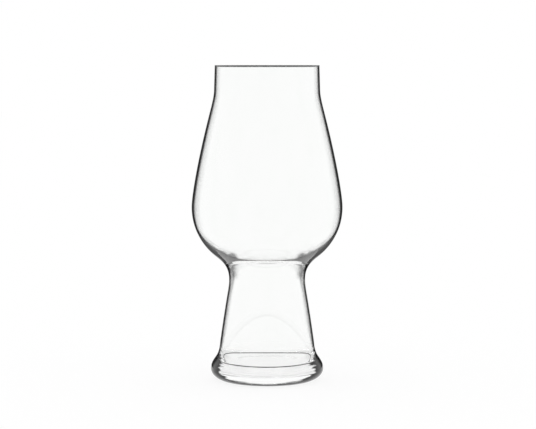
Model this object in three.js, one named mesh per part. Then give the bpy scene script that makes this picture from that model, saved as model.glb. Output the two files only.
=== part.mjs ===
// IPA glass: a thin-walled beer glass with a short neck, a bulb-shaped bowl, a drawn-in waist,
// a hollow conical stem and a heavy foot, all turned about the Z axis.
// Millimetres, +Z up, origin at the centre of the resting plane.
import * as THREE from "three";

// Outer radii, from the lip down
const RIM_RADIUS = 29.8;
const NECK_SPREAD = 0.45;
const BOWL_RADIUS = 43.15;
const WAIST_RADIUS = 21.8;
const STEM_FOOT_RADIUS = 26.9;
const HEEL_OVERHANG = 5.4;
const HEEL_TUCK = 8.55;

// Lengths along the axis, from the resting plane up
const HEEL_RISE = 6.8;
const STEM_LENGTH = 35.5;
const WAIST_LENGTH = 15.2;
const BOWL_DEPTH = 26.2;
const BOWL_RISE = 66.4;
const NECK_LENGTH = 14.5;
const RIM_BAND = 3;

// Glass thickness, measured level
const RIM_WALL = 1;
const NECK_WALL = 1.05;
const SHOULDER_WALL = 1.15;
const BOWL_WALL = 1.2;
const UNDERSIDE_WALL = 2.8;
const WAIST_WALL = 1.5;
const STEM_WALL = 1.1;

// Slope ground on the inside of the lip, and how far the polish rounds its two corners
const LIP_DROP = 0.9;
const LIP_POLISH = 0.3;

// Solid base, its rounded inner corner and the straight wall above that corner
const BASE_THICKNESS = 9.4;
const FLOOR_FILLET = 1.2;
const FOOT_COLLAR = 11;

// Flat resting ring and the shallow hollow inside it
const REST_WIDTH = 4;
const KICK_DEPTH = 0.8;
const KICK_SLOPE = 6;

// Lean of the wall away from the vertical, in degrees
const SHOULDER_LEAN = 14.2;
const UNDERSIDE_LEAN = 47.4;
const THROAT_LEAN = 54;
const WAIST_INNER_LEAN = 4;
const STEM_LEAN = 7.9;
const FLARE_LEAN = 35.2;

// Where the shoulder, the underside and the flare lie between their neighbours, as shares
const SHOULDER_HEIGHT_SHARE = 0.754;
const SHOULDER_RADIUS_SHARE = 0.267;
const UNDERSIDE_RADIUS_SHARE = 0.463;
const FLARE_HEIGHT_SHARE = 0.44;
const FLARE_RADIUS_SHARE = 0.45;

// How long each stretch of wall keeps its direction at its upper and lower end, as shares of its drop
const BEND_PULLS = [0.235, 0.52];
const SHOULDER_PULLS = [0.48, 0.13];
const BELLY_PULLS = [0.5, 0.24];
const BELLY_INNER_PULLS = [0.45, 0.42];
const WAIST_PULLS = [0.39, 0.57];
const THROAT_PULLS = [0.42, 0.82];
const STEM_PULLS = [0.15, 0.81];
const FLARE_PULLS = [0.21, 0.41];
const HEEL_TOP_PULLS = [0.52, 0.34];
const HEEL_TURN_PULLS = [0.62, 0.47];

// Facets
const ROUND_SEGMENTS = 60;
const LIP_STEPS = 3;
const BEND_STEPS = 4;
const CURVE_STEPS = 7;
const FILLET_STEPS = 5;

const GLASS_COLOUR = "#f3f6f5";
const GLASS_ROUGHNESS = 0.04;
const GLASS_OPACITY = 0.35;

// Heights of the seams and of the widest places
const stemLean = THREE.MathUtils.degToRad(STEM_LEAN);
const floorHeight = KICK_DEPTH + BASE_THICKNESS;
const filletTop = floorHeight + FLOOR_FILLET * (1 + Math.sin(stemLean));
const footTop = filletTop + FOOT_COLLAR;
const stemTop = footTop + STEM_LENGTH;
const waistTop = stemTop + WAIST_LENGTH;
const bowlWidest = waistTop + BOWL_DEPTH;
const neckFoot = bowlWidest + BOWL_RISE;
const overallHeight = neckFoot + NECK_LENGTH;
const rimSeam = overallHeight - RIM_BAND;

function between(start, end, share) {
  return start + (end - start) * share;
}

// The way a wall runs when it is followed downwards
function downwards(leanDegrees) {
  const lean = THREE.MathUtils.degToRad(leanDegrees);
  return new THREE.Vector2(Math.sin(lean), -Math.cos(lean));
}

// A place on the wall: its radius, its height and the way the wall runs there
function station(radius, height, way) {
  return { point: new THREE.Vector2(radius, height), way };
}

// The same place on the inner face, one level wall thickness nearer the axis
function insideOf(outer, wall, way = outer.way) {
  return station(outer.point.x - wall, outer.point.y, way);
}

// A smooth stretch of wall from one station down to the next
function stretch(upper, lower, [upperPull, lowerPull], steps = CURVE_STEPS) {
  const drop = upper.point.y - lower.point.y;
  const leave = upper.point.clone().addScaledVector(upper.way, drop * upperPull);
  const arrive = lower.point.clone().addScaledVector(lower.way, -drop * lowerPull);
  return new THREE.CubicBezierCurve(upper.point, leave, arrive, lower.point).getPoints(steps);
}

// Stations of the outer face
const upright = downwards(0);
const neckRadius = RIM_RADIUS + NECK_SPREAD;
const heelRadius = STEM_FOOT_RADIUS + HEEL_OVERHANG;
const restRadius = heelRadius - HEEL_TUCK;
const neckWay = new THREE.Vector2(NECK_SPREAD, -NECK_LENGTH).normalize();
const rimSeamRadius = between(RIM_RADIUS, neckRadius, RIM_BAND / NECK_LENGTH);
const shoulderRadius = between(neckRadius, BOWL_RADIUS, SHOULDER_RADIUS_SHARE);
const shoulderHeight = between(bowlWidest, neckFoot, SHOULDER_HEIGHT_SHARE);
const undersideRadius = between(WAIST_RADIUS, BOWL_RADIUS, UNDERSIDE_RADIUS_SHARE);
const flareRadius = between(STEM_FOOT_RADIUS, heelRadius, FLARE_RADIUS_SHARE);
const flareHeight = between(HEEL_RISE, footTop, FLARE_HEIGHT_SHARE);
const rimOuter = station(rimSeamRadius, rimSeam, neckWay);
const neckOuter = station(neckRadius, neckFoot, neckWay);
const shoulderOuter = station(shoulderRadius, shoulderHeight, downwards(SHOULDER_LEAN));
const bowlOuter = station(BOWL_RADIUS, bowlWidest, upright);
const undersideOuter = station(undersideRadius, waistTop, downwards(-UNDERSIDE_LEAN));
const waistOuter = station(WAIST_RADIUS, stemTop, upright);
const stemFootOuter = station(STEM_FOOT_RADIUS, footTop, downwards(STEM_LEAN));
const flareOuter = station(flareRadius, flareHeight, downwards(FLARE_LEAN));
const heelOuter = station(heelRadius, HEEL_RISE, upright);
const restOuter = station(restRadius, 0, new THREE.Vector2(-1, 0));

// Stations of the inner face
const rimInner = insideOf(rimOuter, RIM_WALL);
const neckInner = insideOf(neckOuter, NECK_WALL);
const shoulderInner = insideOf(shoulderOuter, SHOULDER_WALL);
const bowlInner = insideOf(bowlOuter, BOWL_WALL);
const undersideInner = insideOf(undersideOuter, UNDERSIDE_WALL, downwards(-THROAT_LEAN));
const waistInner = insideOf(waistOuter, WAIST_WALL, downwards(WAIST_INNER_LEAN));
const stemFootInner = insideOf(stemFootOuter, STEM_WALL);

// Turns a profile, followed up the outer face and down the inner one, into a named mesh
function turned(name, profile) {
  const geometry = new THREE.LatheGeometry(profile, ROUND_SEGMENTS);
  geometry.rotateX(Math.PI / 2);
  const material = new THREE.MeshStandardMaterial({
    color: GLASS_COLOUR,
    roughness: GLASS_ROUGHNESS,
    metalness: 0,
    transparent: true,
    opacity: GLASS_OPACITY,
  });
  const mesh = new THREE.Mesh(geometry, material);
  mesh.name = name;
  return mesh;
}

// A ring of glass between two flat seams, from its two faces listed downwards
function ring(name, outerFace, innerFace) {
  return turned(name, [...innerFace, ...outerFace.toReversed(), innerFace[0]]);
}

// A corner of a profile rounded over the same reach on both sides
function rounded(before, corner, after) {
  const start = before.clone().sub(corner).setLength(LIP_POLISH).add(corner);
  const end = after.clone().sub(corner).setLength(LIP_POLISH).add(corner);
  return new THREE.QuadraticBezierCurve(start, corner, end).getPoints(LIP_STEPS);
}

// Lip ground to a slope on the inside and polished round at both corners
function makeRim() {
  const lipTop = new THREE.Vector2(RIM_RADIUS, overallHeight);
  const slopeFoot = new THREE.Vector2(RIM_RADIUS - RIM_WALL, overallHeight - LIP_DROP);
  const lip = [
    ...rounded(rimOuter.point, lipTop, slopeFoot),
    ...rounded(lipTop, slopeFoot, rimInner.point),
  ];
  return turned("rim", [rimOuter.point, ...lip, rimInner.point, rimOuter.point]);
}

// Short chimney that opens a little towards the bowl
function makeNeck() {
  return ring("neck", [rimOuter.point, neckOuter.point], [rimInner.point, neckInner.point]);
}

// Thin bulb, from the foot of the neck round the widest place to the underside
function makeBowl() {
  const outerFace = [
    ...stretch(neckOuter, shoulderOuter, BEND_PULLS, BEND_STEPS),
    ...stretch(shoulderOuter, bowlOuter, SHOULDER_PULLS).slice(1),
    ...stretch(bowlOuter, undersideOuter, BELLY_PULLS).slice(1),
  ];
  const innerFace = [
    ...stretch(neckInner, shoulderInner, BEND_PULLS, BEND_STEPS),
    ...stretch(shoulderInner, bowlInner, SHOULDER_PULLS).slice(1),
    ...stretch(bowlInner, undersideInner, BELLY_INNER_PULLS).slice(1),
  ];
  return ring("bowl", outerFace, innerFace);
}

// Thick ring where the bowl is drawn in; its inner face is the throat
function makeWaist() {
  const outerFace = stretch(undersideOuter, waistOuter, WAIST_PULLS);
  const innerFace = stretch(undersideInner, waistInner, THROAT_PULLS);
  return ring("waist", outerFace, innerFace);
}

// Hollow shaft that widens to the foot
function makeStem() {
  const outerFace = stretch(waistOuter, stemFootOuter, STEM_PULLS);
  const innerFace = stretch(waistInner, stemFootInner, STEM_PULLS);
  return ring("stem", outerFace, innerFace);
}

// Heavy base: inner floor with a rounded corner, flared outside, round heel, resting ring and hollow
function makeFoot() {
  const kickEdge = restRadius - REST_WIDTH;
  const kick = [
    new THREE.Vector2(0, KICK_DEPTH),
    new THREE.Vector2(kickEdge - KICK_SLOPE, KICK_DEPTH),
    new THREE.Vector2(kickEdge, 0),
  ];
  const outerFace = [
    ...stretch(stemFootOuter, flareOuter, FLARE_PULLS),
    ...stretch(flareOuter, heelOuter, HEEL_TOP_PULLS, BEND_STEPS).slice(1),
    ...stretch(heelOuter, restOuter, HEEL_TURN_PULLS).slice(1),
  ];
  const wallRun = Math.tan(stemLean) * FOOT_COLLAR;
  const filletX = stemFootInner.point.x + wallRun - FLOOR_FILLET * Math.cos(stemLean);
  const filletY = floorHeight + FLOOR_FILLET;
  const fillet = new THREE.ArcCurve(filletX, filletY, FLOOR_FILLET, stemLean, -Math.PI / 2, true);
  const innerFace = [
    stemFootInner.point,
    ...fillet.getPoints(FILLET_STEPS),
    new THREE.Vector2(0, floorHeight),
  ];
  return turned("foot", [...kick, ...outerFace.toReversed(), ...innerFace]);
}

const glass = new THREE.Group();
glass.add(makeRim(), makeNeck(), makeBowl(), makeWaist(), makeStem(), makeFoot());

export default glass;
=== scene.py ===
import math
from collections import namedtuple

import bmesh
import bpy
from bpy.props import FloatProperty, FloatVectorProperty, IntProperty, PointerProperty
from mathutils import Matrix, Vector
from mathutils.geometry import interpolate_bezier


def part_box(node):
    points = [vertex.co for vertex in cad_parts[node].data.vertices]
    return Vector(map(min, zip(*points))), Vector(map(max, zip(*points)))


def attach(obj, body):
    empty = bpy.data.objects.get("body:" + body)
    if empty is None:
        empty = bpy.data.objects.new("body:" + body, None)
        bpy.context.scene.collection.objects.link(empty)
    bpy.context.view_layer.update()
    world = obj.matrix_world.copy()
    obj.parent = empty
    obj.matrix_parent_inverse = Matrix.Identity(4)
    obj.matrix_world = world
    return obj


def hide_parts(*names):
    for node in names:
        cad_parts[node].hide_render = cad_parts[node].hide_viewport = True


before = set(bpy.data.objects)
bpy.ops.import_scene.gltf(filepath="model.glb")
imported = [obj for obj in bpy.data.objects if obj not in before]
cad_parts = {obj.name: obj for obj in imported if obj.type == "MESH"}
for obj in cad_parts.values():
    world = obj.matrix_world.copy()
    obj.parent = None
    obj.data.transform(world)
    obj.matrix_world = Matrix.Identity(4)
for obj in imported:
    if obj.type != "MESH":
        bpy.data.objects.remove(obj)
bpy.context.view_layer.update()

bl_info = {
    "name": "IPA glass",
    "version": (1, 0, 0),
    "blender": (4, 5, 0),
    "location": "3D View > Sidebar > IPA glass",
    "description": "Turns the six fused sections of a clear IPA beer glass and sets up its white studio",
    "category": "Object",
}

MM = 0.001
BODY = "root"
FLOOR_GAP = 0.05 * MM

# How long each stretch of wall keeps its direction at its upper and lower end, as shares of its drop
BEND_PULLS = (0.235, 0.52)
SHOULDER_PULLS = (0.48, 0.13)
BELLY_PULLS = (0.5, 0.24)
BELLY_INNER_PULLS = (0.45, 0.42)
WAIST_PULLS = (0.39, 0.57)
THROAT_PULLS = (0.42, 0.82)
STEM_PULLS = (0.15, 0.81)
FLARE_PULLS = (0.21, 0.41)
HEEL_TOP_PULLS = (0.52, 0.34)
HEEL_TURN_PULLS = (0.62, 0.47)
KICK_PULL = 0.4

# Where the shoulder and the flare lie between their neighbours, as shares
SHOULDER_HEIGHT_SHARE = 0.754
SHOULDER_RADIUS_SHARE = 0.267
FLARE_HEIGHT_SHARE = 0.44
FLARE_RADIUS_SHARE = 0.45

# Spacing of the points along the section's curves, and the fewest steps in a curve
CURVE_STEP = 0.8 * MM
FEWEST_STEPS = 16
LIP_STEPS = 8
FILLET_STEPS = 24
KICK_STEPS = 10
SCREEN_STEPS = 64
TABLE_SIDES = 96

# Points closer than this are one point
SAME_PLACE = 0.0001 * MM

# Refraction of soda-lime glass
GLASS_IOR = 1.52

# How the cords are drawn out along the axis and the ripples round it, as shares of their frequency
CORD_DRAW = (1, 1, 0.2)
RIPPLE_DRAW = (0.15, 0.15, 1)

# Roughness of the glass: the most on the cords, the least and most on the ground underside, and on fine lines
CORD_ROUGHNESS = 0.006
GROUND_ROUGHNESS = (0.15, 0.25)
LINE_ROUGHNESS = 0.2

# How far the ripples shift the painted dark edge of the heel, as a turn from the eye
RAGGED_EDGE = 0.07

# What the lowest glass still holds back of the light that leaves it towards the table
TABLE_HOLD = 0.2

# Turn from the eye that no surface has, for glass that keeps its edges clear of the painted dark edge
NO_EDGE = 2.0

# Turn of a ray inside the glass at which the glass gives off a painted glow, standing in for light no longer
# followed, and turns of a ray straight through one wall
LAST_TURN = 5
WALL_TURNS = 2

# Turns that the renderer allows a ray in all, and turns through clear seams
RAY_TURNS = 20
SEAM_TURNS = 32

# Width of the picture in pixels, how far the glass stands beside its middle, and the sensor's width in mm
PICTURE_WIDTH = 536
PICTURE_SHIFT = 0.9
SENSOR_WIDTH = 36

Station = namedtuple("Station", "point way")
Section = namedtuple("Section", "points normals inner_seams outer_seams heel_end fold")


def cad_radius(node):
    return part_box(node)[1][0]


def cad_foot(node):
    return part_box(node)[0][2]


def length(label, text, default):
    return FloatProperty(
        name=label, description=text, default=default, min=0, unit="LENGTH", subtype="DISTANCE", precision=5
    )


def lean(label, text, degrees):
    return FloatProperty(
        name=label, description=text, default=math.radians(degrees), unit="ROTATION", subtype="ANGLE"
    )


def amount(label, text, default):
    return FloatProperty(name=label, description=text, default=default)


def linear(hex_colour):
    """Turns an sRGB hex value into linear red, green and blue."""
    channels = [int(hex_colour[i:i + 2], 16) / 255 for i in (1, 3, 5)]
    return [c / 12.92 if c <= 0.04045 else ((c + 0.055) / 1.055) ** 2.4 for c in channels]


def colour(label, text, hex_colour):
    return FloatVectorProperty(
        name=label, description=text, default=linear(hex_colour), size=3, min=0, max=1, subtype="COLOR"
    )


class GlassSizes(bpy.types.PropertyGroup):
    """Sizes of the turned section; the radii and seam heights come from the solids."""

    height: length("Height", "Resting plane to the lip's corner before it is polished round", 180.36 * MM)
    lip_drop: length("Lip drop", "Height of the slope that the lip is ground to on its inside", 0.9 * MM)
    lip_reach: length("Lip reach", "How far from each corner the polish rounds the lip", 0.3 * MM)
    rim_radius: length("Rim radius", "Outer radius at the lip", 29.8 * MM)
    rim_seam: length("Rim seam", "Height where the rim joins the neck", cad_foot("rim"))
    neck_radius: length("Neck radius", "Outer radius at the foot of the neck", cad_radius("neck"))
    neck_foot: length("Neck foot", "Height where the neck joins the bowl", cad_foot("neck"))
    bowl_radius: length("Bowl radius", "Outer radius at the widest place", cad_radius("bowl"))
    bowl_depth: length("Bowl depth", "Widest place of the bowl down to the waist", 26.2 * MM)
    underside_radius: length("Underside radius", "Outer radius under the bowl", cad_radius("waist"))
    underside: length("Underside", "Height where the bowl joins the waist", cad_foot("bowl"))
    waist_radius: length("Waist radius", "Outer radius at the narrowest place", 21.8 * MM)
    waist: length("Waist", "Height where the waist joins the stem", cad_foot("waist"))
    stem_radius: length("Stem foot radius", "Outer radius where the stem joins the foot", cad_radius("stem"))
    stem_foot: length("Stem foot", "Height where the stem joins the foot", cad_foot("stem"))
    heel_radius: length("Heel radius", "Outer radius of the foot", cad_radius("foot"))
    heel_rise: length("Heel rise", "Height of the widest place of the foot", 6.8 * MM)
    heel_tuck: length("Heel tuck", "How far the heel draws in to the resting ring", 8.55 * MM)
    rest_width: length("Resting ring", "Width of the flat resting ring", 4 * MM)
    kick_depth: length("Kick depth", "Depth of the hollow inside the resting ring", 0.8 * MM)
    kick_slope: length("Kick slope", "Width over which the hollow rises", 6 * MM)
    base: length("Base", "Thickness of the solid base", 9.4 * MM)
    floor_fillet: length("Floor fillet", "Radius of the corner round the inner floor", 1.2 * MM)
    rim_wall: length("Rim wall", "Glass thickness at the lip", 1 * MM)
    neck_wall: length("Neck wall", "Level glass thickness at the foot of the neck", 1.05 * MM)
    shoulder_wall: length("Shoulder wall", "Level glass thickness at the shoulder", 1.15 * MM)
    bowl_wall: length("Bowl wall", "Level glass thickness at the widest place", 1.2 * MM)
    underside_wall: length("Underside wall", "Level glass thickness under the bowl", 2.8 * MM)
    waist_wall: length("Waist wall", "Level glass thickness at the narrowest place", 1.5 * MM)
    stem_wall: length("Stem wall", "Level glass thickness at the foot of the stem", 1.1 * MM)
    shoulder_lean: lean("Shoulder lean", "Lean of the wall at the shoulder", 14.2)
    underside_lean: lean("Underside lean", "Lean of the outer wall under the bowl", 47.4)
    throat_lean: lean("Throat lean", "Lean of the inner wall under the bowl", 54)
    waist_inner_lean: lean("Inner waist lean", "Lean of the inner wall at the waist", 4)
    stem_lean: lean("Stem lean", "Lean of the stem's wall at its foot", 7.9)
    flare_lean: lean("Flare lean", "Lean of the outer wall where the foot flares", 35.2)
    sides: IntProperty(name="Sides", description="Facets round the axis", default=256, min=12, max=480)


class GlassFinish(bpy.types.PropertyGroup):
    """Colours and surface of the glass, with the painted shade, dark lines and glow that draw it."""

    clear: colour("Clear", "Colour of the glass where it is clearest", "#fefefe")
    striae: colour("Striae", "Colour of the faint cords left by gathering", "#fbfcfb")
    # Painted shade: the near-black colour that the glass is mixed towards where it is seen at a glancing
    # angle, which draws its outlines dark. The foot and the painted lines also tint their mirror with it. The
    # turns below say where this painted dark edge starts on each part.
    edge: colour("Edge", "Tint of the glass seen at a glancing angle", "#020202")
    wall_edge: amount("Wall edge", "Turn from the eye where the thin wall darkens", 0.8)
    foot_edge: amount("Foot edge", "Turn from the eye where the foot darkens", 0.4)
    turn_edge: amount("Turn edge", "Turn from the eye where the heel's foot darkens", 0.56)
    edge_fade: amount("Edge fade", "Turn over which the glass darkens", 0.1)
    # Painted shade at the waist: around this height the painted dark edge starts sooner, and a painted grey is
    # mixed in where the glass is seen aslant
    waist: length("Waist", "Height of the thick glass at the waist", 64 * MM)
    painted_shade_reach: length("Waist reach", "How far the thick glass reaches above and below that", 7 * MM)
    waist_edge: amount("Waist edge", "Turn from the eye where the waist darkens", 0.58)
    painted_waist_grey: colour("Veil", "Grey of the thick glass at the waist", "#808080")
    painted_grey_from: amount("Veil edge", "Turn from the eye where the waist greys", 0.36)
    painted_grey_fade: amount("Veil fade", "Turn over which the waist greys", 0.25)
    # The heel's painted dark edge starts later on the round part under the heel, and the ripples make it
    # ragged
    heel_turn: length("Heel turn", "Height of the round part under the heel", 5 * MM)
    ripple_width: length("Ripple width", "Typical height of the level ripples that pressing leaves", 1.2 * MM)
    # Between these heights the painted dark edge changes from the foot's to the wall's; the wall gets none
    # below them
    solid_top: length("Solid top", "Height below which the foot is solid glass", 12 * MM)
    wall_foot: length("Wall foot", "Height above which the foot is as thin as the stem", 20 * MM)
    lit_below: length("Lit below", "Height below which the heel takes up the light of the table", 3 * MM)
    # Strength of the painted glow that the glass gives off where a ray meets it at its fifth turn
    painted_glow: amount("Caught light", "Share of the light caught in the wall that is seen", 0.12)
    # Painted shade: dark colour given to the middle of the corner round the inner floor, as opaque glass,
    # which draws it as a dark line
    fold: colour("Fold", "Colour of the fine fold round the inner floor", "#4a4c4b")
    # Painted shade: dark tint given to the ground lip, as clear glass, which draws the rim as a dark line
    lip: colour("Lip", "Colour of the ground lip", "#343635")
    cord_width: length("Cord width", "Typical width of the faint cords", 7 * MM)
    grit_width: length("Grit width", "Typical width of the patches on the ground underside", 1.5 * MM)
    wave_width: length("Wave width", "Typical width of the blown surface's waves", 22 * MM)
    wave_height: length("Wave height", "Height of those waves", 0.004 * MM)


class StudioSizes(bpy.types.PropertyGroup):
    """Floor, screen and camera."""

    floor_size: length("Floor", "Half the side of the floor", 6)
    table_radius: length("Table", "Radius of the lit table that shows through the glass", 0.12)
    screen_radius: length("Screen radius", "Distance of the screen from the glass", 0.8)
    screen_bottom: length("Screen below", "How far the screen hangs below the table", 0.9)
    screen_top: length("Screen top", "Height at which the dark part of the screen ends", 0.21)
    screen_fade: length("Screen fade", "Height over which the screen's top turns white", 0.1)
    gap: lean("Gap", "Half the angle of the white window", 10)
    feather: lean("Feather", "Angle over which the window's sides turn dark", 6.5)
    flag: lean("Flag", "Angle at which the dark part of the screen begins to fade", 28)
    wing: lean("Wing", "Half the angle of the whole screen", 46)
    camera_distance: length("Camera distance", "Camera to the axis of the glass", 1.1)
    camera_height: length("Camera height", "Camera above the table", 0.18)
    camera_lens: amount("Lens", "Focal length in millimetres", 129.62)
    camera_tilt: lean("Camera tilt", "How far the camera looks down", 4.412)
    white: colour("White", "Paper white of floor and screen", "#ffffff")
    glow: amount("Glow", "Share of the floor's white that comes from below", 0.85)
    dark: colour("Dark", "Dark part of the screen", "#1e1e1e")


def downwards(lean_angle):
    return Vector((math.sin(lean_angle), -math.cos(lean_angle)))


def inside_of(outer, wall, way=None):
    return Station(outer.point - Vector((wall, 0)), way or outer.way)


def between(start, end, share):
    return start + (end - start) * share


def stretch(upper, lower, pulls):
    """A smooth stretch of wall from one station down to the next."""
    drop = upper.point.y - lower.point.y
    steps = max(FEWEST_STEPS, round(drop / CURVE_STEP))
    leave = upper.point + upper.way * (drop * pulls[0])
    arrive = lower.point - lower.way * (drop * pulls[1])
    knots = [v.to_3d() for v in (upper.point, leave, arrive, lower.point)]
    return [v.to_2d() for v in interpolate_bezier(*knots, steps + 1)]


def arc(centre, radius, start, end, steps):
    angles = [between(start, end, i / steps) for i in range(steps + 1)]
    return [centre + Vector((math.cos(a), math.sin(a))) * radius for a in angles]


def join(*runs):
    """Runs that share their end points, as one run; the indices of those shared points come with it."""
    points = list(runs[0])
    shared = []
    for run in runs[1:]:
        shared.append(len(points) - 1)
        points.extend(run[1:])
    return points, shared


def outer_stations(s):
    upright = downwards(0)
    neck_way = Vector((s.neck_radius - s.rim_radius, s.neck_foot - s.height)).normalized()
    seam_share = (s.height - s.rim_seam) / (s.height - s.neck_foot)
    bowl_height = s.underside + s.bowl_depth
    shoulder = Vector((
        between(s.neck_radius, s.bowl_radius, SHOULDER_RADIUS_SHARE),
        between(bowl_height, s.neck_foot, SHOULDER_HEIGHT_SHARE),
    ))
    flare = Vector((
        between(s.stem_radius, s.heel_radius, FLARE_RADIUS_SHARE),
        between(s.heel_rise, s.stem_foot, FLARE_HEIGHT_SHARE),
    ))
    rim_radius = between(s.rim_radius, s.neck_radius, seam_share)
    return {
        "rim": Station(Vector((rim_radius, s.rim_seam)), neck_way),
        "neck": Station(Vector((s.neck_radius, s.neck_foot)), neck_way),
        "shoulder": Station(shoulder, downwards(s.shoulder_lean)),
        "bowl": Station(Vector((s.bowl_radius, bowl_height)), upright),
        "underside": Station(Vector((s.underside_radius, s.underside)), downwards(-s.underside_lean)),
        "waist": Station(Vector((s.waist_radius, s.waist)), upright),
        "stem": Station(Vector((s.stem_radius, s.stem_foot)), downwards(s.stem_lean)),
        "flare": Station(flare, downwards(s.flare_lean)),
        "heel": Station(Vector((s.heel_radius, s.heel_rise)), upright),
        "rest": Station(Vector((s.heel_radius - s.heel_tuck, 0)), Vector((-1, 0))),
    }


def inner_stations(s, outer):
    return {
        "rim": inside_of(outer["rim"], s.rim_wall),
        "neck": inside_of(outer["neck"], s.neck_wall),
        "shoulder": inside_of(outer["shoulder"], s.shoulder_wall),
        "bowl": inside_of(outer["bowl"], s.bowl_wall),
        "underside": inside_of(outer["underside"], s.underside_wall, downwards(-s.throat_lean)),
        "waist": inside_of(outer["waist"], s.waist_wall, downwards(s.waist_inner_lean)),
        "stem": inside_of(outer["stem"], s.stem_wall),
    }


def bowl_face(places, belly_pulls):
    bend = stretch(places["neck"], places["shoulder"], BEND_PULLS)
    shoulder = stretch(places["shoulder"], places["bowl"], SHOULDER_PULLS)
    belly = stretch(places["bowl"], places["underside"], belly_pulls)
    return join(bend, shoulder, belly)[0]


def foot_outer_face(s, places):
    """Flare, heel, flat resting ring and the shallow hollow inside it, down to the axis."""
    rest = places["rest"].point
    ring_edge = rest - Vector((s.rest_width, 0))
    kick_rim = Vector((ring_edge.x - s.kick_slope, s.kick_depth))
    pull = Vector((s.kick_slope * KICK_PULL, 0))
    knots = [v.to_3d() for v in (ring_edge, ring_edge - pull, kick_rim + pull, kick_rim)]
    kick = [v.to_2d() for v in interpolate_bezier(*knots, KICK_STEPS + 1)]
    return join(
        stretch(places["stem"], places["flare"], FLARE_PULLS),
        stretch(places["flare"], places["heel"], HEEL_TOP_PULLS),
        stretch(places["heel"], places["rest"], HEEL_TURN_PULLS),
        [rest, ring_edge],
        kick,
        [kick_rim, Vector((0, s.kick_depth))],
    )


def foot_inner_face(s, places):
    """Straight collar, rounded corner and flat inner floor, down to the axis."""
    stem = places["stem"].point
    floor = s.kick_depth + s.base
    fillet_top = floor + s.floor_fillet * (1 + math.sin(s.stem_lean))
    wall_run = math.tan(s.stem_lean) * (stem.y - fillet_top)
    centre = Vector((stem.x + wall_run - s.floor_fillet * math.cos(s.stem_lean), floor + s.floor_fillet))
    corner = arc(centre, s.floor_fillet, s.stem_lean, -math.pi / 2, FILLET_STEPS)
    return [stem, *corner, Vector((0, floor))]


def rounded(before, corner, after, reach):
    start = corner + (before - corner).normalized() * reach
    end = corner + (after - corner).normalized() * reach
    knots = [v.to_3d() for v in (start, start.lerp(corner, 2 / 3), end.lerp(corner, 2 / 3), end)]
    return [v.to_2d() for v in interpolate_bezier(*knots, LIP_STEPS + 1)]


def lip_face(s, inner_seam, outer_seam):
    """Up the inner wall, along the slope of the ground lip to its top, with both corners polished round."""
    top = Vector((s.rim_radius, s.height))
    foot = Vector((s.rim_radius - s.rim_wall, s.height - s.lip_drop))
    return [*rounded(inner_seam, foot, top, s.lip_reach), *rounded(foot, top, outer_seam, s.lip_reach)]


def section_of(s):
    """The closed section from the inner floor's centre over the lip to the hollow under the foot."""
    outer = outer_stations(s)
    inner = inner_stations(s, outer)
    lip = lip_face(s, inner["rim"].point, outer["rim"].point)
    down_inside, inner_seams = join(
        [inner["rim"].point, inner["neck"].point],
        bowl_face(inner, BELLY_INNER_PULLS),
        stretch(inner["underside"], inner["waist"], THROAT_PULLS),
        stretch(inner["waist"], inner["stem"], STEM_PULLS),
        foot_inner_face(s, inner),
    )
    foot_face, foot_joins = foot_outer_face(s, outer)
    down_outside, outer_seams = join(
        [outer["rim"].point, outer["neck"].point],
        bowl_face(outer, BELLY_PULLS),
        stretch(outer["underside"], outer["waist"], WAIST_PULLS),
        stretch(outer["waist"], outer["stem"], STEM_PULLS),
        foot_face,
    )
    points = [*reversed(down_inside), *lip, *down_outside]
    last_inside = len(down_inside) - 1
    first_outside = len(down_inside) + len(lip)
    inner_indices = [last_inside - i for i in (0, *inner_seams)]
    outer_indices = [first_outside + i for i in (0, *outer_seams)]
    heel_end = outer_indices[-1] + foot_joins[2]
    # The painted dark line takes up the middle half of the corner round the floor
    fold = range(1 + FILLET_STEPS // 4, 2 + 3 * FILLET_STEPS // 4)
    return Section(points, section_normals(points), inner_indices, outer_indices, heel_end, fold)


def section_normals(points):
    """Outward directions of the section, from the circle through each point and its neighbours."""
    normals = [Vector((0, 1))]
    for before, here, after in zip(points, points[1:], points[2:]):
        arriving = here - before
        leaving = after - here
        way = arriving.normalized() * leaving.length + leaving.normalized() * arriving.length
        normals.append(Vector((-way.y, way.x)).normalized())
    normals.append(Vector((0, -1)))
    return normals


def turn(name, section, chain, seams, sides, materials):
    """Spins a run of the section about Z; closed runs also close over their seams."""
    shape = bmesh.new()
    place = shape.verts.layers.int.new("place")
    for index in chain:
        point = section.points[index]
        shape.verts.new((point.x, 0, point.y))[place] = index
    shape.verts.ensure_lookup_table()
    for start, end in zip(shape.verts[:], shape.verts[1:]):
        shape.edges.new((start, end))
    if section.points[chain[0]].x > 0:
        shape.edges.new((shape.verts[-1], shape.verts[0]))
    bmesh.ops.spin(
        shape, geom=shape.verts[:] + shape.edges[:], cent=(0, 0, 0), axis=(0, 0, 1),
        angle=math.tau, steps=sides, use_merge=True,
    )
    bmesh.ops.remove_doubles(shape, verts=shape.verts[:], dist=SAME_PLACE)
    bmesh.ops.recalc_face_normals(shape, faces=shape.faces[:])
    for face in shape.faces:
        face.smooth = True
        places = {v[place] for v in face.verts}
        face.material_index = material_at(section, places, seams)
    normals = [around_axis(section.normals[v[place]], v.co) for v in shape.verts]
    shape.verts.layers.int.remove(place)
    mesh = bpy.data.meshes.new(name)
    shape.to_mesh(mesh)
    shape.free()
    mesh.normals_split_custom_set_from_vertices(normals)
    for material in materials:
        mesh.materials.append(material)
    piece = bpy.data.objects.new(name, mesh)
    bpy.context.scene.collection.objects.link(piece)
    return piece


def material_at(section, places, seams):
    if places in seams:
        return 1
    if min(places) >= section.heel_end:
        return 3
    if places <= set(section.fold):
        return 4
    if section.inner_seams[0] < min(places) and max(places) < section.outer_seams[0]:
        return 5
    return 2 if min(places) >= section.outer_seams[4] else 0


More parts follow.
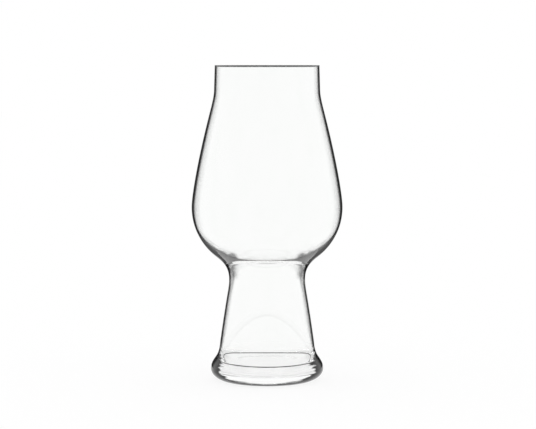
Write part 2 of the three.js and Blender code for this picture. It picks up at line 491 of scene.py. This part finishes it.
def around_axis(normal, place):
    level = Vector((place.x, place.y, 0))
    if level.length < SAME_PLACE:
        return Vector((0, 0, normal.y))
    return level.normalized() * normal.x + Vector((0, 0, normal.y))


def add(tree, kind, inputs=None, **settings):
    """Adds a node, sets it up and links the inputs that are sockets."""
    node = tree.nodes.new(kind)
    for key, value in settings.items():
        setattr(node, key, value)
    for key, value in (inputs or {}).items():
        if isinstance(value, bpy.types.NodeSocket):
            tree.links.new(value, node.inputs[key])
        else:
            node.inputs[key].default_value = value
    return node


def new_material(name):
    material = bpy.data.materials.new(name)
    material.use_nodes = True
    material.node_tree.nodes.clear()
    return material, material.node_tree


def clear_glass(name, finish, solid):
    """Clear soda-lime glass: colourless and mirror-smooth, with faint cords and waves, and a painted shade
    that turns it near black where it is seen at a glancing angle, drawing its outline. The thick waist gets
    that painted dark edge sooner and a painted grey; the solid foot gets it sooner and a near-black mirror. A
    faint painted glow stands in for light caught in the glass."""
    if name in bpy.data.materials:
        return bpy.data.materials[name]
    material, tree = new_material(name)
    place = add(tree, "ShaderNodeTexCoord").outputs["Object"]
    height = add(tree, "ShaderNodeSeparateXYZ", {"Vector": place}).outputs["Z"]
    facing = add(tree, "ShaderNodeLayerWeight", {"Blend": 0.5}).outputs["Facing"]
    drawn = add(tree, "ShaderNodeMapping", {"Vector": place, "Scale": CORD_DRAW}).outputs["Vector"]
    cords = add(
        tree, "ShaderNodeTexNoise", {"Vector": drawn, "Scale": 1 / finish.cord_width, "Detail": 2.0}
    ).outputs["Fac"]
    waves = add(
        tree, "ShaderNodeTexNoise", {"Vector": place, "Scale": 1 / finish.wave_width, "Detail": 0.0}
    ).outputs["Fac"]
    tone = add(
        tree, "ShaderNodeMix", {"Factor": cords, "A": (*finish.clear, 1), "B": (*finish.striae, 1)},
        data_type="RGBA",
    ).outputs["Result"]
    polish = add(
        tree, "ShaderNodeMapRange",
        {"Value": cords, "From Min": 0.35, "From Max": 0.75, "To Min": 0, "To Max": CORD_ROUGHNESS},
    ).outputs["Result"]
    relief = add(
        tree, "ShaderNodeBump", {"Height": waves, "Strength": 1.0, "Distance": finish.wave_height}
    ).outputs["Normal"]
    # Turn from the eye where the painted dark edge starts, by height
    dark_from = add(
        tree, "ShaderNodeMapRange",
        {
            "Value": height, "From Min": finish.solid_top, "From Max": finish.wall_foot,
            "To Min": finish.foot_edge if solid else NO_EDGE, "To Max": finish.wall_edge,
        },
    ).outputs["Result"]
    if solid:
        dark_from = painted_heel_edge(tree, finish, place, height, dark_from)
        hold = lit_from_table(tree, finish, height)
        # Painted shade: the solid foot's mirror is tinted near black, so its reflections show dark
        mirror = finish.edge
    else:
        dark_from, tone = paint_waist_shade(tree, finish, height, facing, dark_from, tone)
        hold = 1.0
        mirror = finish.clear
    # Painted shade: past that turn the glass colour is mixed towards the near-black edge colour, drawing the
    # outline
    past = add(tree, "ShaderNodeMath", {0: facing, 1: dark_from}, operation="SUBTRACT").outputs[0]
    glancing = add(
        tree, "ShaderNodeMapRange", {"Value": past, "From Max": finish.edge_fade},
        interpolation_type="SMOOTHSTEP",
    ).outputs["Result"]
    painted_edge_tone = add(
        tree, "ShaderNodeMix", {"Factor": glancing, "A": tone, "B": (*finish.edge, 1)}, data_type="RGBA"
    ).outputs["Result"]
    # Painted glow: where a ray meets the glass at its fifth turn the glass gives off a little white light, so
    # that light caught in the thick waist leaves it grey rather than black
    depth = add(tree, "ShaderNodeLightPath").outputs["Ray Depth"]
    last = add(tree, "ShaderNodeMath", {0: depth, 1: LAST_TURN, 2: 0.5}, operation="COMPARE").outputs[0]
    painted_glow = add(tree, "ShaderNodeMath", {0: last, 1: finish.painted_glow}, operation="MULTIPLY").outputs[0]
    surface = add(
        tree, "ShaderNodeBsdfPrincipled",
        {
            "Base Color": painted_edge_tone,
            "Roughness": polish,
            "Normal": relief,
            "IOR": GLASS_IOR,
            "Transmission Weight": 1.0,
            "Specular Tint": (*mirror, 1),
            "Alpha": hold,
            "Emission Color": (*finish.clear, 1),
            "Emission Strength": painted_glow,
        },
    )
    add(tree, "ShaderNodeOutputMaterial", {"Surface": surface.outputs["BSDF"]})
    return material


def painted_heel_edge(tree, finish, place, height, dark_from):
    """Where the heel's painted dark edge starts: raggedly by the ripples of pressing, and later where it turns
    under.
    """
    below = add(
        tree, "ShaderNodeMapRange",
        {
            "Value": height, "From Min": 0, "From Max": finish.heel_turn,
            "To Min": finish.turn_edge, "To Max": finish.foot_edge,
        },
    ).outputs["Result"]
    farther = add(tree, "ShaderNodeMath", {0: dark_from, 1: below}, operation="MAXIMUM").outputs[0]
    level = add(tree, "ShaderNodeMapping", {"Vector": place, "Scale": RIPPLE_DRAW}).outputs["Vector"]
    ripples = add(
        tree, "ShaderNodeTexNoise", {"Vector": level, "Scale": 1 / finish.ripple_width, "Detail": 1.0}
    ).outputs["Fac"]
    ragged = add(
        tree, "ShaderNodeMapRange",
        {"Value": ripples, "From Min": 0.3, "From Max": 0.7, "To Min": -RAGGED_EDGE, "To Max": RAGGED_EDGE},
    ).outputs["Result"]
    above = add(tree, "ShaderNodeMapRange", {"Value": height, "From Max": finish.heel_turn}).outputs["Result"]
    return add(tree, "ShaderNodeMath", {0: ragged, 1: above, 2: farther}, operation="MULTIPLY_ADD").outputs[0]


def lit_from_table(tree, finish, height):
    """How much of the light that leaves the lowest glass is held back, so that the table shows white in it."""
    low = add(tree, "ShaderNodeMath", {0: height, 1: finish.lit_below}, operation="LESS_THAN").outputs[0]
    inside = add(tree, "ShaderNodeNewGeometry").outputs["Backfacing"]
    leaving = add(tree, "ShaderNodeMath", {0: low, 1: inside}, operation="MULTIPLY").outputs[0]
    hold = add(tree, "ShaderNodeMapRange", {"Value": leaving, "To Min": 1, "To Max": TABLE_HOLD})
    return hold.outputs["Result"]


def paint_waist_shade(tree, finish, height, facing, dark_from, tone):
    """Where the wall's painted dark edge starts, and its tone: near the thick glass at the waist the painted
    dark edge starts sooner and a painted grey is mixed in.
    """
    off = add(tree, "ShaderNodeMath", {0: height, 1: finish.waist}, operation="SUBTRACT").outputs[0]
    away = add(tree, "ShaderNodeMath", {0: off}, operation="ABSOLUTE").outputs[0]
    near = add(
        tree, "ShaderNodeMapRange", {"Value": away, "From Max": finish.painted_shade_reach, "To Min": 1, "To Max": 0},
        interpolation_type="SMOOTHSTEP",
    ).outputs["Result"]
    sooner = add(
        tree, "ShaderNodeMath", {0: near, 1: finish.waist_edge - finish.wall_edge, 2: dark_from},
        operation="MULTIPLY_ADD",
    ).outputs[0]
    # Painted grey: mixed in near the waist where the glass is seen aslant
    turned = add(
        tree, "ShaderNodeMapRange",
        {"Value": facing, "From Min": finish.painted_grey_from, "From Max": finish.painted_grey_from + finish.painted_grey_fade},
        interpolation_type="SMOOTHSTEP",
    ).outputs["Result"]
    painted_grey_share = add(tree, "ShaderNodeMath", {0: near, 1: turned}, operation="MULTIPLY").outputs[0]
    painted_grey_tone = add(
        tree, "ShaderNodeMix", {"Factor": painted_grey_share, "A": tone, "B": (*finish.painted_waist_grey, 1)}, data_type="RGBA"
    ).outputs["Result"]
    return sooner, painted_grey_tone


def ground_glass(finish):
    """The same glass ground matt on the underside, which scatters light and looks milky through the foot."""
    if "ground_glass" in bpy.data.materials:
        return bpy.data.materials["ground_glass"]
    material, tree = new_material("ground_glass")
    place = add(tree, "ShaderNodeTexCoord").outputs["Object"]
    grit = add(
        tree, "ShaderNodeTexNoise", {"Vector": place, "Scale": 1 / finish.grit_width, "Detail": 1.0}
    ).outputs["Fac"]
    least, most = GROUND_ROUGHNESS
    matt = add(tree, "ShaderNodeMapRange", {"Value": grit, "To Min": least, "To Max": most}).outputs["Result"]
    inside = add(tree, "ShaderNodeNewGeometry").outputs["Backfacing"]
    hold = add(tree, "ShaderNodeMapRange", {"Value": inside, "To Min": 1, "To Max": TABLE_HOLD})
    surface = add(
        tree, "ShaderNodeBsdfPrincipled",
        {
            "Base Color": (*finish.clear, 1), "Roughness": matt, "IOR": GLASS_IOR, "Transmission Weight": 1.0,
            "Alpha": hold.outputs["Result"],
        },
    )
    add(tree, "ShaderNodeOutputMaterial", {"Surface": surface.outputs["BSDF"]})
    return material


def painted_line_glass(name, finish, tint, clearness):
    """Painted dark line on the corner round the inner floor or on the ground lip: glass coloured dark with a
    near-black mirror, standing in for the light that these tight curves turn away.
    """
    if name in bpy.data.materials:
        return bpy.data.materials[name]
    material, tree = new_material(name)
    place = add(tree, "ShaderNodeTexCoord").outputs["Object"]
    ripple = add(
        tree, "ShaderNodeTexNoise", {"Vector": place, "Scale": 1 / finish.cord_width, "Detail": 1.0}
    ).outputs["Fac"]
    tone = add(
        tree, "ShaderNodeMix", {"Factor": ripple, "A": (*tint, 1), "B": (*finish.edge, 1)}, data_type="RGBA"
    ).outputs["Result"]
    surface = add(
        tree, "ShaderNodeBsdfPrincipled",
        {
            "Base Color": tone, "Roughness": LINE_ROUGHNESS, "IOR": GLASS_IOR,
            "Transmission Weight": clearness, "Specular Tint": (*finish.edge, 1),
        },
    )
    add(tree, "ShaderNodeOutputMaterial", {"Surface": surface.outputs["BSDF"]})
    return material


def fused_seam():
    """Where two sections are fused the glass runs on, so nothing is seen there."""
    if "fused_seam" in bpy.data.materials:
        return bpy.data.materials["fused_seam"]
    material, tree = new_material("fused_seam")
    surface = add(tree, "ShaderNodeBsdfPrincipled", {"Alpha": 0.0})
    add(tree, "ShaderNodeOutputMaterial", {"Surface": surface.outputs["BSDF"]})
    return material


def matt_paper(white, glow):
    """Matt white paper lit from below, so that the glass throws only a faint shadow on it."""
    material, tree = new_material("matt_paper")
    sheet = add(tree, "ShaderNodeBsdfDiffuse", {"Color": (*white, 1)}).outputs["BSDF"]
    lit = add(tree, "ShaderNodeEmission", {"Color": (*white, 1), "Strength": 1.0}).outputs["Emission"]
    path = add(tree, "ShaderNodeLightPath").outputs
    through = add(
        tree, "ShaderNodeMath", {0: path["Is Glossy Ray"], 1: path["Is Transmission Ray"]},
        operation="MAXIMUM",
    ).outputs[0]
    seen = add(tree, "ShaderNodeMath", {0: path["Is Camera Ray"], 1: through}, operation="MAXIMUM").outputs[0]
    share = add(tree, "ShaderNodeMath", {0: seen, 1: glow}, operation="MULTIPLY").outputs[0]
    surface = add(tree, "ShaderNodeMixShader", {0: share, 1: sheet, 2: lit}).outputs["Shader"]
    add(tree, "ShaderNodeOutputMaterial", {"Surface": surface})
    return material


def graduated_cloth(studio):
    """Evenly lit cloth: dark beside a white window and fading to white at its top and its sides, which draws
    the edges of the glass dark. A ray straight through one wall sees it white."""
    material, tree = new_material("graduated_cloth")
    place = add(tree, "ShaderNodeTexCoord").outputs["Object"]
    parts = add(tree, "ShaderNodeSeparateXYZ", {"Vector": place}).outputs
    turned = add(tree, "ShaderNodeMath", {0: parts["X"], 1: parts["Y"]}, operation="ARCTAN2").outputs[0]
    aside = add(tree, "ShaderNodeMath", {0: turned}, operation="ABSOLUTE").outputs[0]
    beside = add(
        tree, "ShaderNodeMapRange",
        {"Value": aside, "From Min": studio.gap, "From Max": studio.gap + studio.feather},
        interpolation_type="SMOOTHSTEP",
    ).outputs["Result"]
    within = add(
        tree, "ShaderNodeMapRange",
        {"Value": aside, "From Min": studio.flag, "From Max": studio.wing, "To Min": 1, "To Max": 0},
        interpolation_type="SMOOTHSTEP",
    ).outputs["Result"]
    under = add(
        tree, "ShaderNodeMapRange",
        {
            "Value": parts["Z"], "From Min": studio.screen_top,
            "From Max": studio.screen_top + studio.screen_fade, "To Min": 1, "To Max": 0,
        },
        interpolation_type="SMOOTHSTEP",
    ).outputs["Result"]
    inside = add(tree, "ShaderNodeMath", {0: within, 1: under}, operation="MULTIPLY").outputs[0]
    depth = add(tree, "ShaderNodeLightPath").outputs["Ray Depth"]
    straight = add(tree, "ShaderNodeMath", {0: depth, 1: WALL_TURNS, 2: 0.5}, operation="COMPARE").outputs[0]
    bent = add(tree, "ShaderNodeMath", {0: 1, 1: straight}, operation="SUBTRACT").outputs[0]
    framed = add(tree, "ShaderNodeMath", {0: beside, 1: inside}, operation="MULTIPLY").outputs[0]
    shade = add(tree, "ShaderNodeMath", {0: framed, 1: bent}, operation="MULTIPLY").outputs[0]
    tone = add(
        tree, "ShaderNodeMix", {"Factor": shade, "A": (*studio.white, 1), "B": (*studio.dark, 1)},
        data_type="RGBA",
    ).outputs["Result"]
    surface = add(tree, "ShaderNodeEmission", {"Color": tone, "Strength": 1.0})
    add(tree, "ShaderNodeOutputMaterial", {"Surface": surface.outputs["Emission"]})
    return material


class GlassOperator:
    """What the six turned pieces have in common."""

    bl_options = {"REGISTER", "UNDO"}
    node = ""
    piece = ""

    def run_of(self, section):
        raise NotImplementedError

    def execute(self, context):
        sizes = context.scene.glass_sizes
        finish = context.scene.glass_finish
        section = section_of(sizes)
        chain = self.run_of(section)
        seams = [set(pair) for pair in zip(section.inner_seams, section.outer_seams)]
        wall = clear_glass("blown_glass", finish, False)
        heel = clear_glass("pressed_glass", finish, True)
        # Painted dark line on the corner round the inner floor, as opaque dark glass
        fold = painted_line_glass("painted_corner_glass", finish, finish.fold, 0.0)
        # Painted dark line on the lip, as clear dark-tinted glass
        lip = painted_line_glass("painted_lip_glass", finish, finish.lip, 1.0)
        materials = [wall, fused_seam(), heel, ground_glass(finish), fold, lip]
        piece = turn(self.piece, section, chain, seams, sizes.sides, materials)
        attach(piece, BODY)
        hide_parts(self.node)
        return {"FINISHED"}


def ring_run(section, upper, lower):
    """Up the inner face from one seam to the next, then down the outer face."""
    inside = range(section.inner_seams[lower], section.inner_seams[upper] + 1)
    outside = range(section.outer_seams[upper], section.outer_seams[lower] + 1)
    return [*inside, *outside]


class GLASS_OT_rim(GlassOperator, bpy.types.Operator):
    """Turn the ground and polished lip"""

    bl_idname = "glass.rim"
    bl_label = "Rim"
    node = "rim"
    piece = "polished_rim"

    def run_of(self, section):
        return list(range(section.inner_seams[0], section.outer_seams[0] + 1))


class GLASS_OT_neck(GlassOperator, bpy.types.Operator):
    """Turn the short chimney under the lip"""

    bl_idname = "glass.neck"
    bl_label = "Neck"
    node = "neck"
    piece = "chimney_neck"

    def run_of(self, section):
        return ring_run(section, 0, 1)


class GLASS_OT_bowl(GlassOperator, bpy.types.Operator):
    """Turn the thin bulb"""

    bl_idname = "glass.bowl"
    bl_label = "Bowl"
    node = "bowl"
    piece = "bulb_bowl"

    def run_of(self, section):
        return ring_run(section, 1, 2)


class GLASS_OT_waist(GlassOperator, bpy.types.Operator):
    """Turn the ring where the bowl is drawn in"""

    bl_idname = "glass.waist"
    bl_label = "Waist"
    node = "waist"
    piece = "drawn_waist"

    def run_of(self, section):
        return ring_run(section, 2, 3)


class GLASS_OT_stem(GlassOperator, bpy.types.Operator):
    """Turn the hollow shaft"""

    bl_idname = "glass.stem"
    bl_label = "Stem"
    node = "stem"
    piece = "hollow_stem"

    def run_of(self, section):
        return ring_run(section, 3, 4)


class GLASS_OT_foot(GlassOperator, bpy.types.Operator):
    """Turn the heavy base with its floor, heel and resting ring"""

    bl_idname = "glass.foot"
    bl_label = "Foot"
    node = "foot"
    piece = "heavy_foot"

    def run_of(self, section):
        inside = range(0, section.inner_seams[4] + 1)
        outside = range(section.outer_seams[4], len(section.points))
        return [*inside, *outside]


def stage_mesh(name, shape, material):
    mesh = bpy.data.meshes.new(name)
    shape.to_mesh(mesh)
    shape.free()
    mesh.materials.append(material)
    thing = bpy.data.objects.new(name, mesh)
    bpy.context.scene.collection.objects.link(thing)
    return thing


class GLASS_OT_studio(bpy.types.Operator):
    """Set up the white floor, the graduated screen, the light and the camera"""

    bl_idname = "glass.studio"
    bl_label = "Studio"
    bl_options = {"REGISTER", "UNDO"}

    def execute(self, context):
        scene = context.scene
        studio = scene.glass_studio
        scene.view_settings.view_transform = "Standard"
        camera = self.set_camera(scene, studio)
        self.set_light(scene, studio)
        self.lay_floor(studio)
        self.hang_screen(studio, camera)
        scene.cycles.max_bounces = RAY_TURNS
        scene.cycles.transmission_bounces = RAY_TURNS
        scene.cycles.transparent_max_bounces = SEAM_TURNS
        return {"FINISHED"}

    def set_camera(self, scene, studio):
        data = bpy.data.cameras.new("camera")
        data.sensor_width = SENSOR_WIDTH
        data.lens = studio.camera_lens
        data.shift_x = PICTURE_SHIFT / PICTURE_WIDTH
        camera = bpy.data.objects.new("camera", data)
        camera.location = (0, -studio.camera_distance, studio.camera_height)
        camera.rotation_euler = (math.pi / 2 - studio.camera_tilt, 0, 0)
        scene.collection.objects.link(camera)
        scene.camera = camera
        return camera

    def set_light(self, scene, studio):
        world = bpy.data.worlds.new("white_room")
        world.use_nodes = True
        sky = world.node_tree.nodes["Background"]
        sky.inputs["Color"].default_value = (*studio.white, 1)
        sky.inputs["Strength"].default_value = 1.0
        scene.world = world

    def lay_floor(self, studio):
        paper = matt_paper(studio.white, studio.glow)
        sheet = bmesh.new()
        bmesh.ops.create_circle(sheet, segments=TABLE_SIDES, radius=studio.table_radius)
        rim = sheet.edges[:]
        far = bmesh.ops.extrude_edge_only(sheet, edges=rim)["geom"]
        spread = studio.floor_size / studio.table_radius
        outer = [part for part in far if isinstance(part, bmesh.types.BMVert)]
        bmesh.ops.scale(sheet, vec=(spread, spread, 1), verts=outer)
        floor = stage_mesh("floor", sheet, paper)
        floor.location.z = -FLOOR_GAP
        floor.visible_transmission = False
        floor.visible_glossy = False
        disc = bmesh.new()
        bmesh.ops.create_circle(disc, cap_ends=True, segments=TABLE_SIDES, radius=studio.table_radius)
        table = stage_mesh("lit_table", disc, paper)
        table.location.z = -FLOOR_GAP

    def hang_screen(self, studio, camera):
        cloth = bmesh.new()
        side = Vector((math.sin(-studio.wing), math.cos(studio.wing), 0)) * studio.screen_radius
        low = cloth.verts.new(side - Vector((0, 0, studio.screen_bottom)))
        high = cloth.verts.new(side + Vector((0, 0, studio.screen_top + studio.screen_fade)))
        edge = cloth.edges.new((low, high))
        bmesh.ops.spin(
            cloth, geom=[low, high, edge], cent=(0, 0, 0), axis=(0, 0, 1), angle=-2 * studio.wing,
            steps=SCREEN_STEPS,
        )
        screen = stage_mesh("screen", cloth, graduated_cloth(studio))
        screen.visible_camera = False
        screen.visible_diffuse = False
        screen.visible_shadow = False
        follow = screen.constraints.new("LOCKED_TRACK")
        follow.target = camera
        follow.track_axis = "TRACK_NEGATIVE_Y"
        follow.lock_axis = "LOCK_Z"


class GLASS_PT_panel(bpy.types.Panel):
    bl_idname = "GLASS_PT_panel"
    bl_label = "IPA glass"
    bl_space_type = "VIEW_3D"
    bl_region_type = "UI"
    bl_category = "IPA glass"

    def draw(self, context):
        for operator in OPERATORS:
            self.layout.operator(operator.bl_idname)
        for group in (context.scene.glass_sizes, context.scene.glass_finish, context.scene.glass_studio):
            box = self.layout.box()
            for name in group.bl_rna.properties.keys():
                if name not in {"rna_type", "name"}:
                    box.prop(group, name)


OPERATORS = (
    GLASS_OT_foot,
    GLASS_OT_stem,
    GLASS_OT_waist,
    GLASS_OT_bowl,
    GLASS_OT_neck,
    GLASS_OT_rim,
    GLASS_OT_studio,
)
CLASSES = (GlassSizes, GlassFinish, StudioSizes, *OPERATORS, GLASS_PT_panel)


def register():
    for cls in CLASSES:
        bpy.utils.register_class(cls)
    bpy.types.Scene.glass_sizes = PointerProperty(type=GlassSizes)
    bpy.types.Scene.glass_finish = PointerProperty(type=GlassFinish)
    bpy.types.Scene.glass_studio = PointerProperty(type=StudioSizes)


def unregister():
    del bpy.types.Scene.glass_studio
    del bpy.types.Scene.glass_finish
    del bpy.types.Scene.glass_sizes
    for cls in reversed(CLASSES):
        bpy.utils.unregister_class(cls)


def main():
    register()
    bpy.ops.glass.foot()
    bpy.ops.glass.stem()
    bpy.ops.glass.waist()
    bpy.ops.glass.bowl()
    bpy.ops.glass.neck()
    bpy.ops.glass.rim()
    bpy.ops.glass.studio()


if __name__ == "__main__":
    main()
